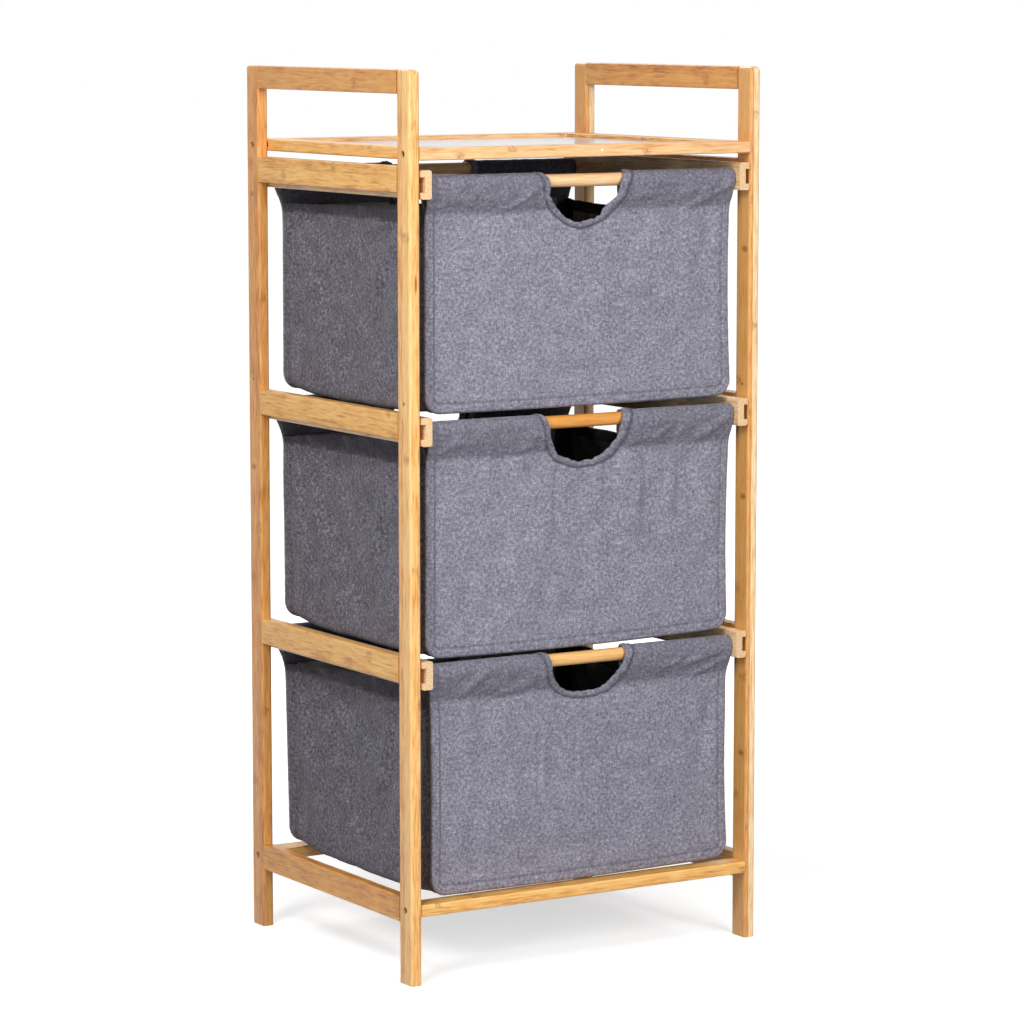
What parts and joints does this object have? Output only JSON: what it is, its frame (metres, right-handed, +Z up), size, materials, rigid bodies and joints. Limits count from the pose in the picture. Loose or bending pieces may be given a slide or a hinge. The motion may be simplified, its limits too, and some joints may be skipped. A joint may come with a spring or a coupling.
{
  "type": "laundry hamper organizer",
  "caption": "Freestanding bamboo rack with a top shelf between raised side handles and tiers of grey fabric hampers that slide out to the front on wooden runners.",
  "frame": {"origin": "on the floor, under the middle of the rack", "axes": "+Z up, front towards -Y, +X to the right seen from the front"},
  "size_m": [0.44, 0.355, 0.96],
  "materials": {
    "bamboo_post": "satin clear lacquer on laminated bamboo",
    "bamboo_rail": "satin clear lacquer on laminated bamboo",
    "bamboo_dowel": "satin clear lacquer on laminated bamboo",
    "shelf_board": "smooth gloss white facing",
    "heather_cloth": "grey melange woven polyester, matt",
    "black_bolt": "black oxide steel",
    "zinc_screw": "zinc plated steel"
  },
  "bodies": {
    "rack": {"left_front_post": "bamboo_post", "left_rear_post": "bamboo_post", "right_front_post": "bamboo_post", "right_rear_post": "bamboo_post", "left_handle_rail": "bamboo_rail", "right_handle_rail": "bamboo_rail", "left_side_rail_1": "bamboo_rail", "left_side_rail_2": "bamboo_rail", "left_side_rail_3": "bamboo_rail", "left_base_side_rail": "bamboo_rail", "right_side_rail_1": "bamboo_rail", "right_side_rail_2": "bamboo_rail", "right_side_rail_3": "bamboo_rail", "right_base_side_rail": "bamboo_rail", "left_runner_1": "bamboo_post", "left_runner_2": "bamboo_post", "left_runner_3": "bamboo_post", "right_runner_1": "bamboo_post", "right_runner_2": "bamboo_post", "right_runner_3": "bamboo_post", "shelf_front_rail": "bamboo_rail", "shelf_rear_rail": "bamboo_rail", "shelf_left_strip": "bamboo_rail", "shelf_right_strip": "bamboo_rail", "shelf_panel": "shelf_board", "base_front_rail": "bamboo_rail", "base_rear_rail": "bamboo_rail", "frame_bolts": "black_bolt", "runner_screws": "zinc_screw"},
    "hamper_1": {"left_bar_1": "bamboo_rail", "right_bar_1": "bamboo_rail", "front_dowel_1": "bamboo_dowel", "rear_dowel_1": "bamboo_dowel", "bag_1": "heather_cloth", "dowel_screws_1": "zinc_screw"},
    "hamper_2": {"left_bar_2": "bamboo_rail", "right_bar_2": "bamboo_rail", "front_dowel_2": "bamboo_dowel", "rear_dowel_2": "bamboo_dowel", "bag_2": "heather_cloth", "dowel_screws_2": "zinc_screw"},
    "hamper_3": {"left_bar_3": "bamboo_rail", "right_bar_3": "bamboo_rail", "front_dowel_3": "bamboo_dowel", "rear_dowel_3": "bamboo_dowel", "bag_3": "heather_cloth", "dowel_screws_3": "zinc_screw"}
  },
  "joints": [
    {"name": "hamper_1_slide", "type": "slide", "parent": "rack", "child": "hamper_1", "axis": [0, -1, 0], "range_m": [0, 0.25]},
    {"name": "hamper_2_slide", "type": "slide", "parent": "rack", "child": "hamper_2", "axis": [0, -1, 0], "range_m": [0, 0.25]},
    {"name": "hamper_3_slide", "type": "slide", "parent": "rack", "child": "hamper_3", "axis": [0, -1, 0], "range_m": [0, 0.25]}
  ]
}
